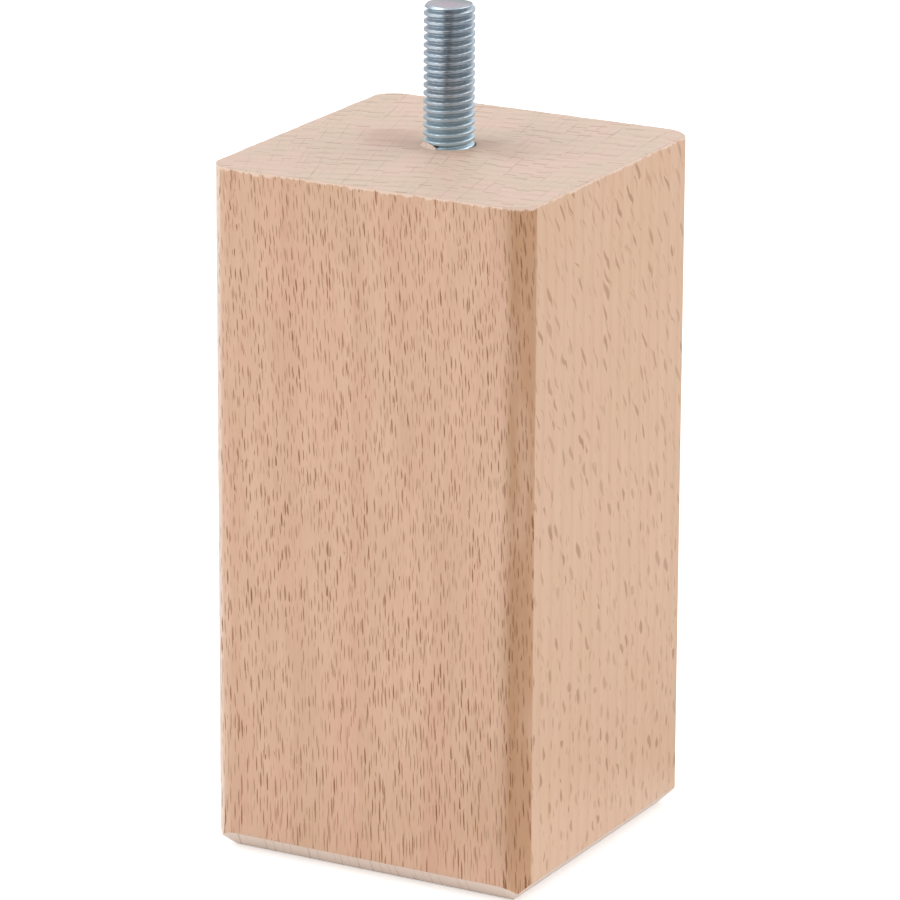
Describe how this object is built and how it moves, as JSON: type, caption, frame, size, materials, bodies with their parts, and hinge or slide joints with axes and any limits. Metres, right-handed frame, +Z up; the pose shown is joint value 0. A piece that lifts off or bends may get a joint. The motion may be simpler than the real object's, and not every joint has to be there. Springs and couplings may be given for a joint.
{
  "type": "wooden furniture leg",
  "caption": "Square beech furniture leg with rounded upright edges and a chamfered foot, fastened by a threaded stud standing out of its top.",
  "frame": {"origin": "middle of the foot face, which the leg stands on", "axes": "+Z up the leg, along the stud and out of the top; +X and +Y square to the block's side faces"},
  "size_m": [0.055, 0.055, 0.132],
  "materials": {
    "beech_wood": "sanded raw beech, smooth and matt, with sawn end grain on top",
    "zinc_plated_steel": "bright blue-white zinc plating"
  },
  "bodies": {
    "root": {"leg_block": "beech_wood", "threaded_stud": "zinc_plated_steel"}
  },
  "joints": []
}
